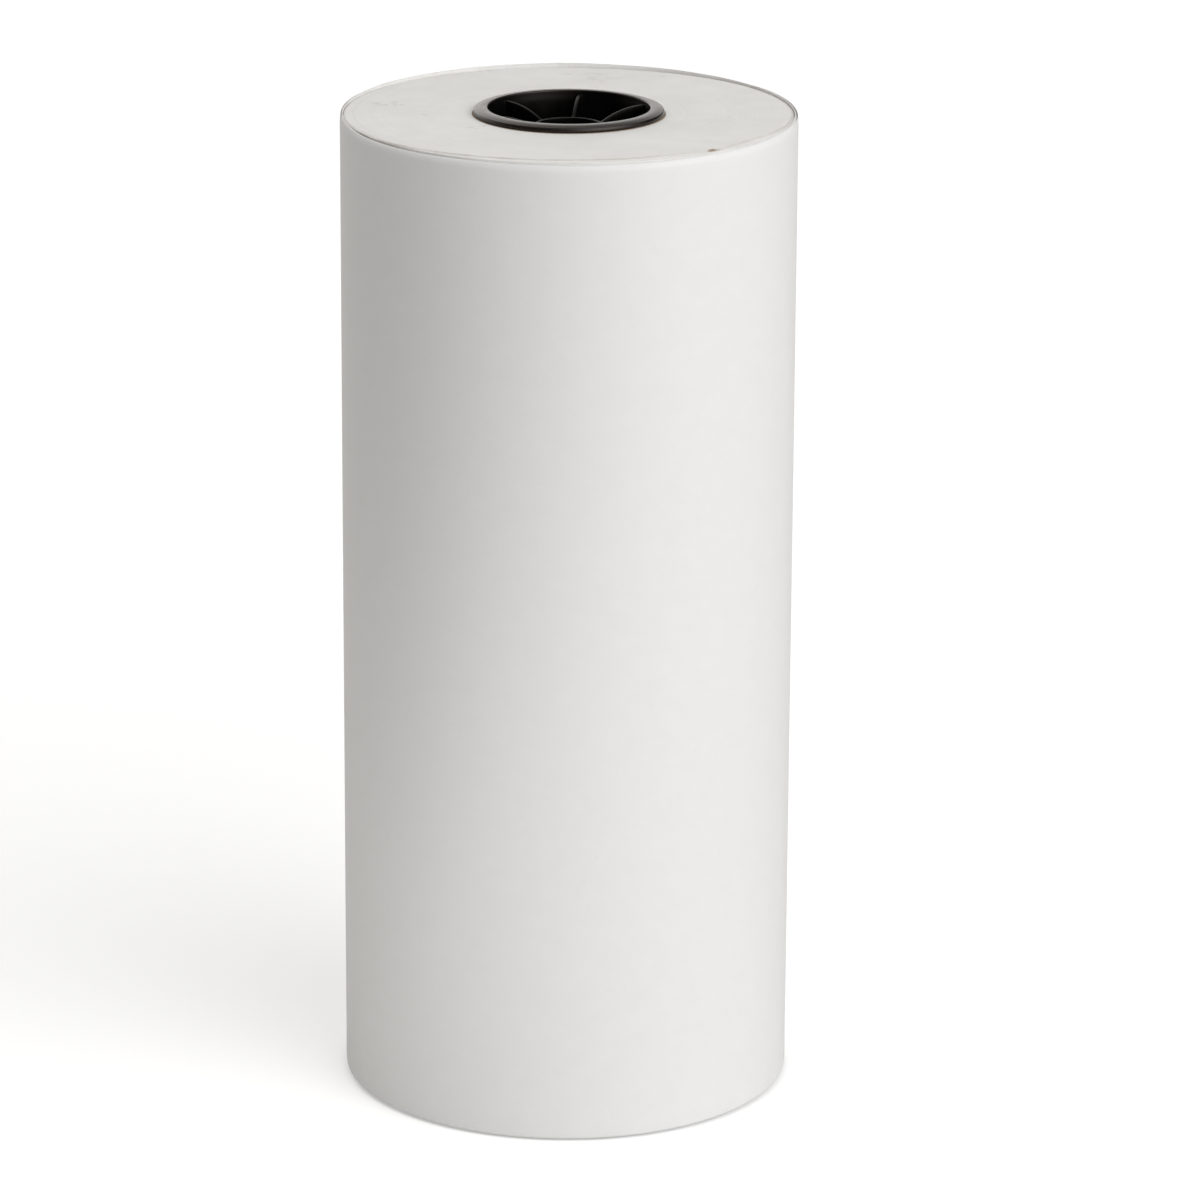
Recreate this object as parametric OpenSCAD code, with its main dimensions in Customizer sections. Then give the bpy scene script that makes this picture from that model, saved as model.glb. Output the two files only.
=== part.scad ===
// Short backdrop paper roll: a web of white paper wound on a board core,
// with a moulded plug pressed into each end of the core.
// The roll stands on end. The origin is the centre of its foot, +Z runs up
// the winding axis, and the free edge of the sheet lies on the +Y side.

/* [Paper] */
// Width of the paper web, which is the height of the standing roll
paper_w = 457.2; // [300:0.1:620]
// Diameter over the outermost turn
roll_d = 209; // [150:0.5:300]
// Thickness of the band of looser turns outside the tight winding
loose_t = 1.1; // [0.6:0.1:2]
// Width of the open slit between the tight winding and the loose turns
slit_w = 0.4; // [0.2:0.1:1]
// How far the loose turns have slipped down along the axis
slip = 1.5; // [0:0.1:1.5]

/* [Free end of the sheet] */
// Thickness of the outermost turn as modelled
sheet_t = 0.35; // [0.25:0.05:0.5]
// Angle of the winding that one leaf covers
leaf_deg = 15; // [10:1:18]
// Direction in which the sheet leaves the roll when it is pulled
leave_at = 20; // [0:1:60]
// Width of one closing tape, measured up the roll
tape_h = 24; // [12:1:50]
// Angle of the loose end that a closing tape is stuck to
tape_on = 7; // [4:0.5:7]
// Angle that a closing tape reaches over the turn below
tape_over = 14; // [5:1:20]

/* [Core] */
// Bore of the board core
core_id = 76.2; // [70:0.1:80]
// Wall of the board core
core_t = 6; // [4:0.5:10]
// How far each end of the core lies below the paper
core_sink = 0.2; // [0:0.1:0.3]
// Width of the double-sided starter tape
starter_w = 25; // [12:1:50]

/* [Core plug] */
// Diameter of the flange
flange_d = 87; // [86.5:0.1:88]
// Height of the flange above the end of the core
flange_h = 3; // [1.9:0.1:3.2]
// Length of the skirt inside the core
skirt_l = 36; // [28:1:60]
// Diameter of the shaft bore in the hub
bore_d = 28.6; // [20:0.1:34]
// Wall of the hub
hub_t = 1.8; // [1.2:0.1:3]
// Depth of the hub below the crest of the flange
hub_deep = 8.2; // [5:0.1:12]
// Number of radial webs
webs = 6; // [3:1:8]
// Thickness of a radial web
web_t = 1.6; // [1:0.1:2.4]
// Radius of the curve along the top of a web
web_curve = 38.6; // [30:0.1:60]
// Number of grip ribs outside the skirt
grips = 12; // [6:1:18]

/* [Hidden] */
$fn = 128;

leaves = 6;                           // the loose end bends as this many leaves
foot = flange_h - core_sink;          // the paper's lower end above the floor
top = foot + paper_w;                 // the paper's upper end
core_lo = foot + core_sink;           // lower end of the core
core_hi = top - core_sink;            // upper end of the core
core_r = core_id / 2;
core_or = core_r + core_t;
roll_r = roll_d / 2;
room = 0.25;                          // air under the loose end of the sheet
band_r = roll_r - sheet_t - room;     // outside of the loose turns
band_ir = band_r - loose_t;           // inside of the loose turns
tight_r = band_ir - slit_w;           // outside of the tight winding
free_at = leave_at + leaves * leaf_deg;
gap_deg = 0.055;                      // half of the parting between two leaves
starter_t = 0.2;
starter_deg = starter_w / core_or * 180 / PI;
skirt_r = core_r - 0.3;
hub_r = bore_d / 2 + hub_t;
crest_r = skirt_r + 0.5;               // middle of the flat crest of the flange
crown = 0.78;                         // fall of the flange from its crest to its rim
rim_w = 0.8;                          // width of the rounded rim
web_foot = 2;                         // the webs end this far above the skirt's end

PAPER = [0.93, 0.93, 0.915];
EDGE = [0.86, 0.855, 0.835];
TAPE = [0.9, 0.88, 0.8];
BOARD = [0.55, 0.44, 0.33];
BLACK = [0.035, 0.034, 0.034];

// points along an arc of an ellipse
function arc(cx, cy, rx, ry, a0, a1, n) =
    [for (i = [0:n]) let (a = a0 + (a1 - a0) * i / n) [cx + rx * cos(a), cy + ry * sin(a)]];

// a piece of a tube between two directions
module bent_sheet(r0, r1, a0, a1, z0, z1)
    rotate([0, 0, a0])
        rotate_extrude(angle = a1 - a0)
            translate([r0, z0]) square([r1 - r0, z1 - z0]);

module ring(r0, r1, z0, z1)
    difference() {
        translate([0, 0, z0]) cylinder(r = r1, h = z1 - z0);
        translate([0, 0, z0 - 1]) cylinder(r = r0, h = z1 - z0 + 2);
    }

// the tight winding, with the place of the starter tape in its bore
module wound_paper()
    color(EDGE)
        difference() {
            ring(core_or, tight_r, foot, top);
            bent_sheet(core_or - 1, core_or + starter_t, -starter_deg / 2, starter_deg / 2, foot + 12, top - 12);
        }

// the looser turns, which touch the winding only on the far side
module outer_turns()
    color(PAPER)
        union() {
            ring(band_ir, band_r, foot - slip, top - slip);
            bent_sheet(tight_r, band_ir + 0.3, 62, 118, foot, top - slip);
        }

// the fixed part of the last turn
module last_turn()
    color(PAPER)
        bent_sheet(band_r, roll_r, free_at + 0.4, leave_at + 360 - gap_deg, foot - slip, top - slip);

// one leaf of the loose end, counted from where the sheet leaves the roll
module tail_leaf(i)
    color(PAPER)
        bent_sheet(roll_r - sheet_t, roll_r,
                   leave_at + (i - 1) * leaf_deg + gap_deg,
                   leave_at + i * leaf_deg - (i < leaves ? gap_deg : 0),
                   foot - slip, top - slip);

// strips over the free edge: each is stuck to the last leaf and reaches, a little
// higher, over the turn below
module closing_tapes()
    color(TAPE)
        for (z = [foot + paper_w * 0.25, foot + paper_w * 0.75])
            translate([0, 0, z - tape_h / 2])
                linear_extrude(tape_h)
                    polygon(concat(
                        arc(0, 0, roll_r + 0.25, roll_r + 0.25, free_at - tape_on, free_at + tape_over, 20),
                        arc(0, 0, roll_r + 0.1, roll_r + 0.1, free_at + tape_over, free_at + 0.4, 14),
                        arc(0, 0, roll_r + 0.01, roll_r + 0.01, free_at - 0.4, free_at - tape_on, 7)));

module core_tube()
    color(BOARD) ring(core_r, core_or, core_lo, core_hi);

// holds the first turn on the core
module starter_tape()
    color(TAPE)
        bent_sheet(core_or, core_or + starter_t, -starter_deg / 2 + 0.3, starter_deg / 2 - 0.3, foot + 14, top - 14);

// half section of the flange and skirt, with z = 0 at the end of the core:
// a narrow flat crest at the inner edge, then a low crown that falls to a rounded rim
function shell_outline(f) =
    let (dx = f - rim_w - crest_r - 0.6, rho = (dx * dx + crown * crown) / (2 * crown))
    concat(
        arc(f - rim_w, 0.45, rim_w, flange_h - crown - 0.45, 0, 90, 8),
        arc(crest_r + 0.6, flange_h - rho, rho, rho, acos(dx / rho), 90, 8),
        arc(crest_r - 0.6, flange_h - 0.7, 0.7, 0.7, 90, 180, 6),
        [[skirt_r - 1.3, -0.8], [skirt_r - 1.5, -2.2], [skirt_r - 1.3, -skirt_l + 0.4], [skirt_r - 1.0, -skirt_l],
         [skirt_r - 0.9, -skirt_l], [skirt_r - 0.5, -skirt_l + 1.5], [skirt_r, -skirt_l + 8],
         [skirt_r, -0.4], [skirt_r + 0.25, 0], [f - 0.2, 0]]);

// the curve along the top of a web rises from the hub to the flange
web_a = [hub_r, flange_h - hub_deep];
web_b = [skirt_r - 1.2, flange_h - 1.9];
web_c = let (d = web_b - web_a, m = (web_a + web_b) / 2, l = norm(d),
             h = sqrt(web_curve * web_curve - l * l / 4))
        [m[0] + d[1] / l * h, m[1] - d[0] / l * h];
web_a0 = atan2(web_a[1] - web_c[1], web_a[0] - web_c[0]);
web_a1 = atan2(web_b[1] - web_c[1], web_b[0] - web_c[0]);

module web()
    rotate([90, 0, 0])
        linear_extrude(web_t, center = true)
            polygon(concat(
                [[hub_r - hub_t / 2, -skirt_l + web_foot], [hub_r - hub_t / 2, flange_h - hub_deep - 0.4], [hub_r - 0.3, flange_h - hub_deep - 0.2]],
                arc(web_c[0], web_c[1], web_curve, web_curve, web_a0, web_a1, 10),
                [[skirt_r - 0.7, flange_h - 2.1], [skirt_r - 0.7, -skirt_l + web_foot]]));

// hub with a small chamfer at each mouth of the bore
module hub()
    rotate_extrude()
        polygon([[bore_d / 2 + 0.5, -skirt_l], [hub_r - 0.3, -skirt_l], [hub_r, -skirt_l + 0.3],
                 [hub_r, flange_h - hub_deep - 0.4], [hub_r - 0.4, flange_h - hub_deep],
                 [bore_d / 2 + 0.4, flange_h - hub_deep], [bore_d / 2, flange_h - hub_deep - 0.4],
                 [bore_d / 2, -skirt_l + 0.5]]);

// half-round ribs that bite the core
module grip_rib()
    translate([skirt_r - 0.45, 0, 0]) {
        translate([0, 0, -skirt_l + 9]) cylinder(r = 0.7, h = skirt_l - 11, $fn = 32);
        translate([0, 0, -skirt_l + 6]) cylinder(r1 = 0.2, r2 = 0.7, h = 3, $fn = 32);
    }

module core_plug(turn)
    color(BLACK)
        rotate([0, 0, turn])
            union() {
                rotate_extrude() polygon(shell_outline(flange_d / 2));
                hub();
                for (i = [0:webs - 1]) rotate([0, 0, i * 360 / webs]) web();
                for (i = [0:grips - 1]) rotate([0, 0, (i + 0.5) * 360 / grips]) grip_rib();
            }

module core_plug_top() translate([0, 0, core_hi]) core_plug(82.5);

module core_plug_bottom() translate([0, 0, core_lo]) mirror([0, 0, 1]) core_plug(35);

wound_paper();
outer_turns();
last_turn();
tail_leaf(1);  // tail_leaf_1
tail_leaf(2);  // tail_leaf_2
tail_leaf(3);  // tail_leaf_3
tail_leaf(4);  // tail_leaf_4
tail_leaf(5);  // tail_leaf_5
tail_leaf(6);  // tail_leaf_6
closing_tapes();
core_tube();
starter_tape();
core_plug_top();
core_plug_bottom();
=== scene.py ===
import math

import bmesh
import bpy
import numpy as np
from mathutils import Matrix, Vector


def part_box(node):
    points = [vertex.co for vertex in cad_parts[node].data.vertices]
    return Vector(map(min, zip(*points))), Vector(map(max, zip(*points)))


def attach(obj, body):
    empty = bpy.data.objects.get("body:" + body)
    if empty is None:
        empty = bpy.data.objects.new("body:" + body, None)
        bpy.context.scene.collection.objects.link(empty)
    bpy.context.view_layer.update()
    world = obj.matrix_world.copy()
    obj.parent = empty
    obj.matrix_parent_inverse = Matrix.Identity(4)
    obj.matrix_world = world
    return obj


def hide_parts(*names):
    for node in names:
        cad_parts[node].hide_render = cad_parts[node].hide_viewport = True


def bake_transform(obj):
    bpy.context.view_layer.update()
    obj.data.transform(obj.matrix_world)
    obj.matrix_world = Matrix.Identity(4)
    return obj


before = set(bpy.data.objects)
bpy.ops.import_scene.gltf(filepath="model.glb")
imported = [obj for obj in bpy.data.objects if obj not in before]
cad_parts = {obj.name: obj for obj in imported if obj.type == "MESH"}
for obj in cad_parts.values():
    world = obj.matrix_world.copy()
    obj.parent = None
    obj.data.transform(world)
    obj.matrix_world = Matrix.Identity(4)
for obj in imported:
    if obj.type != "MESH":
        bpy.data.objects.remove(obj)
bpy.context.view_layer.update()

MM = 0.001
TAU = 2 * math.pi


def deg(a):
    return math.radians(a)


# ---------------------------------------------------------------- sizes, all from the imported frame
w_lo, w_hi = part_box("wound_paper")
c_lo, c_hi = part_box("core_tube")
l_lo, l_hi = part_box("last_turn")
FOOT, TOP = w_lo.z, w_hi.z                 # ends of the tight winding
TIGHT = w_hi.x                             # its radius
ROLL = -l_lo.x                             # radius over the last turn
CORE_LO, CORE_HI = c_lo.z, c_hi.z
CORE_OR = c_hi.x
FLANGE_H = (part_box("core_plug_top")[1].z - CORE_HI) / MM     # millimetres, above the end of the core
LEAVE, LEAF, FREE = 20.0, 15.0, 110.0      # the sheet leaves the roll, one leaf, the free edge
BAND0, BAND1 = TIGHT + 0.45 * MM, ROLL - 0.74 * MM   # the looser turns
SHEET = 0.25 * MM

rng = np.random.default_rng(7)


# ---------------------------------------------------------------- smooth seeded noise
def wave_noise(seed, period, count, decay=0.7):
    """A smooth function of an angle in radians: a sum of whole waves."""
    g = np.random.default_rng(seed)
    n = np.arange(1, count + 1)
    n = n[n >= 1] * 1.0
    a = g.normal(size=count) * np.exp(-((n - period) / period) ** 2 * decay)
    p = g.uniform(0, TAU, count)
    norm = math.sqrt((a * a).sum() / 2)

    def f(t):
        t = np.asarray(t, float)
        return (a[:, None] * np.sin(n[:, None] * t.ravel()[None, :] + p[:, None])).sum(0).reshape(t.shape) / norm
    return f


def line_noise(seed, lo, hi, step):
    """A smooth function of a length, by cubic blending of random knots."""
    g = np.random.default_rng(seed)
    n = int((hi - lo) / step) + 4
    k = g.uniform(-1, 1, n)

    def f(x):
        u = np.clip((np.asarray(x, float) - lo) / step, 0, n - 2.001)
        i = np.floor(u).astype(int)
        t = u - i
        t = t * t * (3 - 2 * t)
        return k[i] * (1 - t) + k[i + 1] * t
    return f


def smooth(x, a, b):
    t = np.clip((np.asarray(x, float) - a) / (b - a), 0, 1)
    return t * t * (3 - 2 * t)


def bump(theta, centre, width):
    """1 at centre, falling to 0 over width, both in degrees round the roll."""
    d = (np.degrees(np.asarray(theta, float)) - centre + 180) % 360 - 180
    return np.exp(-(d / width) ** 2)


def round_table(table, spread=5.0):
    """A smooth periodic function of the angle from a short table of (degrees, value)."""
    v = np.interp(np.arange(-180, 180), *zip(*table))
    k = np.exp(-((np.arange(-15, 16) / spread) ** 2))
    v = np.convolve(np.r_[v[-15:], v, v[:15]], k / k.sum(), "valid")

    def f(t):
        return np.interp((np.degrees(np.asarray(t, float)) + 180) % 360, np.arange(361), np.r_[v, v[0]])
    return f


# the brownish line on the end face: its radius in mm, and how much brown grime and painted shade it holds
line_mm = round_table([(-180, 102.2), (-150, 102.3), (-139, 101.8), (-122, 100.4), (-108, 99.0), (-90, 98.0), (-77, 98.2),
                       (-60, 97.7), (-47, 98.7), (-32, 97.7), (-22, 99.6), (-10, 101.2), (0, 101.9), (20, 102.2), (180, 102.2)])
grime_and_shade_of = round_table([(-180, 0.4), (-165, 0.45), (-152, 0.65), (-140, 0.8), (-130, 0.75), (-120, 0.7), (-105, 0.7), (-90, 0.5),
                       (-77, 0.75), (-62, 0.48), (-46, 0.55), (-32, 0.62), (-20, 0.5), (0, 0.4), (20, 0.18), (45, 0.1),
                       (150, 0.1), (168, 0.3), (180, 0.4)], 3.0)


def front(t):
    """1 on the camera side, where the rim is pressed round, 0 at the back."""
    return smooth(-np.sin(t), 0.02, 0.55)


# ---------------------------------------------------------------- mesh building
def mesh_of(name, verts, faces, uvs=None, sharp=None, slots=None):
    """verts (n,3) in metres, faces (m,4) or (m,3); uvs per vertex, named paper."""
    verts, faces = np.asarray(verts, float), np.asarray(faces, np.int64)
    k = faces.shape[1]
    me = bpy.data.meshes.new(name)
    me.vertices.add(len(verts))
    me.vertices.foreach_set("co", verts.astype(np.float32).ravel())
    me.loops.add(len(faces) * k)
    me.loops.foreach_set("vertex_index", faces.astype(np.int32).ravel())
    me.polygons.add(len(faces))
    me.polygons.foreach_set("loop_start", np.arange(0, len(faces) * k, k, dtype=np.int32))
    me.polygons.foreach_set("use_smooth", np.ones(len(faces), bool))
    if uvs is not None:
        layer = me.uv_layers.new(name="paper")
        layer.data.foreach_set("uv", np.asarray(uvs, np.float32)[faces.ravel()].ravel())
    if slots is not None:
        me.polygons.foreach_set("material_index", np.asarray(slots, np.int32))
    me.update(calc_edges=True)
    me.validate()
    if sharp:
        me.set_sharp_from_angle(angle=deg(sharp))
    o = bpy.data.objects.new(name, me)
    bpy.context.scene.collection.objects.link(o)
    return o


def grid_faces(nu, nv, wrap_u=False, wrap_v=False, flip=False, start=0):
    """Quads of a grid whose vertex (i, j) is number i * nv + j."""
    iu = np.arange(nu if wrap_u else nu - 1)
    iv = np.arange(nv if wrap_v else nv - 1)
    a, b = np.meshgrid(iu, iv, indexing="ij")
    a1, b1 = (a + 1) % nu, (b + 1) % nv
    q = np.stack([a * nv + b, a1 * nv + b, a1 * nv + b1, a * nv + b1], -1).reshape(-1, 4) + start
    return q[:, ::-1] if flip else q


def revolve(name, profile, n, sharp=None, flip=False, wobble=None):
    """A closed profile of (radius, z) in metres, counter-clockwise with r to the right and z up, turned about Z."""
    p = np.asarray(profile, float)
    t = np.linspace(0, TAU, n, endpoint=False)
    T, I = np.meshgrid(t, np.arange(len(p)), indexing="ij")
    R, Z = p[I, 0], p[I, 1]
    if wobble is not None:
        R, Z = wobble(T, R, Z)
    v = np.stack([R * np.cos(T), R * np.sin(T), Z], -1).reshape(-1, 3)
    return mesh_of(name, v, grid_faces(n, len(p), True, True, flip), sharp=sharp)


def joined(name, objects):
    """One mesh from several that don't touch."""
    bm = bmesh.new()
    for o in objects:
        bm.from_mesh(o.data)
    me = bpy.data.meshes.new(name)
    bm.to_mesh(me)
    bm.free()
    for o in objects:
        bpy.data.objects.remove(o)
    out = bpy.data.objects.new(name, me)
    bpy.context.scene.collection.objects.link(out)
    return out


def facing_out(o):
    bm = bmesh.new()
    bm.from_mesh(o.data)
    bmesh.ops.recalc_face_normals(bm, faces=bm.faces)
    if bm.calc_volume(signed=True) < 0:
        bmesh.ops.reverse_faces(bm, faces=bm.faces)
    bm.to_mesh(o.data)
    bm.free()
    o.data.update()


# ---------------------------------------------------------------- node materials
class Tree:
    def __init__(self, name):
        self.m = bpy.data.materials.new(name)
        self.m.use_nodes = True
        self.t = self.m.node_tree
        self.t.nodes.clear()
        self.out = self.t.nodes.new("ShaderNodeOutputMaterial")
        self.p = self.t.nodes.new("ShaderNodeBsdfPrincipled")
        self.t.links.new(self.p.outputs[0], self.out.inputs[0])

    def n(self, kind, **kw):
        node = self.t.nodes.new("ShaderNode" + kind)
        for k, v in kw.items():
            setattr(node, k, v)
        return node

    def link(self, a, b):
        self.t.links.new(a, b)

    def put(self, socket, value):
        if hasattr(value, "is_linked"):
            self.link(value, socket)
        elif value is not None:
            socket.default_value = value

    def math(self, op, a, b=None, c=None, clamp=False):
        m = self.n("Math", operation=op, use_clamp=clamp)
        for i, v in enumerate((a, b, c)):
            self.put(m.inputs[i], v)
        return m.outputs[0]

    def vmath(self, op, a, b=None):
        m = self.n("VectorMath", operation=op)
        self.put(m.inputs[0], a)
        if b is not None:
            self.put(m.inputs[3] if op == "SCALE" else m.inputs[1], b)
        return m.outputs["Value"] if op in ("LENGTH", "DOT_PRODUCT") else m.outputs[0]

    def mapped(self, vector, scale):
        m = self.n("Mapping")
        self.link(vector, m.inputs["Vector"])
        m.inputs["Scale"].default_value = scale
        return m.outputs[0]

    def noise(self, vector, scale, detail=2.0, rough=0.5, dist=0.0, dims="3D", w=None):
        m = self.n("TexNoise", noise_dimensions=dims)
        if vector is not None and dims != "1D":
            self.link(vector, m.inputs["Vector"])
        if w is not None:
            self.put(m.inputs["W"], w)
        m.inputs["Scale"].default_value = scale
        m.inputs["Detail"].default_value = detail
        m.inputs["Roughness"].default_value = rough
        m.inputs["Distortion"].default_value = dist
        return m.outputs["Fac"]

    def range(self, v, a, b, c, d, smoothstep=False):
        m = self.n("MapRange", clamp=True, interpolation_type="SMOOTHSTEP" if smoothstep else "LINEAR")
        self.put(m.inputs[0], v)
        for i, x in enumerate((a, b, c, d)):
            m.inputs[i + 1].default_value = x
        return m.outputs[0]

    def mix(self, f, a, b, blend="MIX"):
        m = self.n("Mix", data_type="RGBA", blend_type=blend)
        self.put(m.inputs[0], f)
        for i, v in ((6, a), (7, b)):
            self.put(m.inputs[i], (*v, 1) if isinstance(v, tuple) and len(v) == 3 else v)
        return m.outputs[2]

    def grey(self, v):
        m = self.n("CombineColor")
        for i in range(3):
            self.put(m.inputs[i], v)
        return m.outputs[0]

    def bump(self, height, strength, distance, normal=None):
        b = self.n("Bump")
        b.inputs["Strength"].default_value = strength
        b.inputs["Distance"].default_value = distance
        self.link(height, b.inputs["Height"])
        if normal is not None:
            self.link(normal, b.inputs["Normal"])
        return b.outputs[0]

    def done(self, colour=None, rough=None, normal=None, **fixed):
        self.put(self.p.inputs["Base Color"], colour)
        self.put(self.p.inputs["Roughness"], rough)
        if normal is not None:
            self.link(normal, self.p.inputs["Normal"])
        for k, v in fixed.items():
            self.p.inputs[k.replace("_", " ")].default_value = v
        return self.m


def paper_face():
    """The smooth face of a heavy uncoated paper: cloudy formation, short fibres, faint satin."""
    s = Tree("paper_face")
    uv = s.n("UVMap", uv_map="paper").outputs[0]
    cloud = s.noise(s.mapped(uv, (1, 1, 1)), 95, 4, 0.6)
    fine = s.noise(uv, 620, 5, 0.65)
    fibre = s.noise(s.mapped(uv, (0.35, 1.0, 1.0)), 2600, 3, 0.6, 0.6)
    cross = s.noise(s.mapped(uv, (1.0, 0.3, 1.0)), 2100, 2, 0.5, 0.9)
    tone = s.math("ADD", s.range(cloud, 0.3, 0.7, -0.005, 0.005), s.range(fine, 0.3, 0.7, -0.007, 0.007))
    tone = s.math("ADD", tone, s.range(fibre, 0.3, 0.7, -0.007, 0.007))
    speck = s.n("TexVoronoi", feature="F1", distance="EUCLIDEAN")
    s.link(uv, speck.inputs["Vector"])
    speck.inputs["Scale"].default_value = 55
    dot = s.range(speck.outputs["Distance"], 0.012, 0.03, 1, 0, True)
    keep = s.range(s.noise(uv, 31, 1), 0.6, 0.68, 0, 1, True)
    base = s.mix(s.range(cloud, 0.3, 0.7, 0, 1), (0.789, 0.786, 0.776), (0.795, 0.794, 0.786))
    lit = s.math("ADD", tone, 1.0)
    base = s.mix(1.0, base, s.grey(lit), "MULTIPLY")
    base = s.mix(s.math("MULTIPLY", s.math("MULTIPLY", dot, keep), 0.35), base, (0.5, 0.46, 0.4))
    n1 = s.bump(s.math("ADD", fibre, cross), 0.16, 0.00005)
    n2 = s.bump(fine, 0.22, 0.00012, n1)
    n3 = s.bump(cloud, 0.05, 0.0004, n2)
    rough = s.math("ADD", s.range(cloud, 0.3, 0.7, 0.54, 0.60), s.range(fine, 0.3, 0.7, -0.03, 0.03))
    return s.done(base, rough, n3, Specular_IOR_Level=0.42)


def paper_edges():
    """Cut edges of many turns: rings of slightly different tone, grey smudges, brown grime and painted shade in the
    slit, and painted light a little stronger towards the front right.
    """
    s = Tree("paper_edges")
    pos = s.n("TexCoord").outputs["Object"]
    sep = s.n("SeparateXYZ")
    s.link(pos, sep.inputs[0])
    flat = s.vmath("MULTIPLY", pos, (1, 1, 0))
    r = s.vmath("LENGTH", flat)
    slow = s.noise(pos, 14, 3, 0.55)
    r2 = s.math("ADD", r, s.math("MULTIPLY", s.math("SUBTRACT", slow, 0.5), 0.0009))
    ring1 = s.noise(None, 620, 3, 0.6, dims="1D", w=r2)
    ring2 = s.noise(None, 3400, 3, 0.65, dims="1D", w=r2)
    ring3 = s.noise(None, 9000, 1, 0.5, dims="1D", w=r2)
    grain = s.noise(pos, 2300, 3, 0.6)
    mottle = s.noise(pos, 70, 4, 0.6)
    patch = s.noise(pos, 26, 2, 0.5)
    tone = s.range(ring1, 0.3, 0.7, -0.012, 0.012)
    tone = s.math("ADD", tone, s.math("MULTIPLY", s.range(ring2, 0.3, 0.7, -0.022, 0.022), s.range(patch, 0.35, 0.65, 0.35, 1)))
    tone = s.math("ADD", tone, s.range(ring3, 0.3, 0.7, -0.014, 0.014))
    tone = s.math("ADD", tone, s.range(mottle, 0.3, 0.7, -0.022, 0.022))
    painted_light_side = s.vmath("DOT_PRODUCT", pos, (0.35, -0.94, 0.0))          # painted light: a little lighter towards the front right
    tone = s.math("ADD", tone, s.range(painted_light_side, -0.1, 0.1, -0.016, 0.024))
    tone = s.math("ADD", tone, s.range(grain, 0.3, 0.7, -0.012, 0.012))
    base = s.mix(s.range(patch, 0.35, 0.65, 0, 1), (0.785, 0.774, 0.750), (0.812, 0.804, 0.785))
    base = s.mix(1.0, base, s.grey(s.math("ADD", tone, 1.0)), "MULTIPLY")
    # a few grey smudges from handling
    smudge = s.math("MULTIPLY", s.range(s.noise(pos, 42, 3, 0.6, 0.4), 0.62, 0.72, 0, 1, True),
                    s.range(s.noise(pos, 260, 2, 0.5), 0.45, 0.62, 0, 1, True))
    base = s.mix(s.math("MULTIPLY", smudge, 0.26), base, (0.42, 0.4, 0.37))
    # brown grime and painted shade along the line, in patches; the map holds the distance from it and its strength
    uv = s.n("SeparateXYZ")
    s.link(s.n("UVMap", uv_map="paper").outputs[0], uv.inputs[0])
    off = s.math("ADD", uv.outputs["X"], s.math("MULTIPLY", s.math("SUBTRACT", s.noise(pos, 210, 3, 0.6), 0.5), 0.0009))
    near = s.range(s.math("ABSOLUTE", off), 0.0001, 0.00125, 1, 0, True)
    run = s.noise(pos, 64, 4, 0.65)
    grime_and_shade = s.math("MULTIPLY", s.math("MULTIPLY", near, s.range(run, 0.36, 0.6, 0.45, 1.0, True)), uv.outputs["Y"])
    base = s.mix(s.math("MULTIPLY", grime_and_shade, 0.62), base, (0.31, 0.25, 0.185))
    # the brown bruise on the camera's right, longer along the turns than across them
    ca, sa = math.cos(deg(-49.9)), math.sin(deg(-49.9))
    rel = s.vmath("SUBTRACT", flat, (0.0991 * ca, 0.0991 * sa, 0.0))
    across = s.math("DIVIDE", s.vmath("DOT_PRODUCT", rel, (ca, sa, 0.0)), 0.0019)
    along = s.math("DIVIDE", s.vmath("DOT_PRODUCT", rel, (-sa, ca, 0.0)), 0.0052)
    nick = s.math("SQRT", s.math("ADD", s.math("MULTIPLY", across, across), s.math("MULTIPLY", along, along)))
    nick = s.math("ADD", nick, s.math("MULTIPLY", s.math("SUBTRACT", s.noise(pos, 420, 3, 0.6), 0.5), 0.9))
    up = s.range(sep.outputs["Z"], TOP - 0.004, TOP - 0.002, 0, 1)
    nk = s.math("MULTIPLY", s.range(nick, 0.25, 1.0, 1, 0, True), up)
    base = s.mix(s.math("MULTIPLY", nk, 0.8), base, (0.24, 0.13, 0.06))
    h = s.math("ADD", s.math("MULTIPLY", ring2, 1.0), s.math("MULTIPLY", ring3, 0.6))
    n1 = s.bump(h, 0.3, 0.00012)
    n2 = s.bump(grain, 0.3, 0.00006, n1)
    n3 = s.bump(mottle, 0.15, 0.0003, n2)
    rough = s.math("ADD", s.range(ring2, 0.3, 0.7, 0.74, 0.84), s.range(grain, 0.3, 0.7, -0.04, 0.04))
    return s.done(base, rough, n3, Specular_IOR_Level=0.3)


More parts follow.
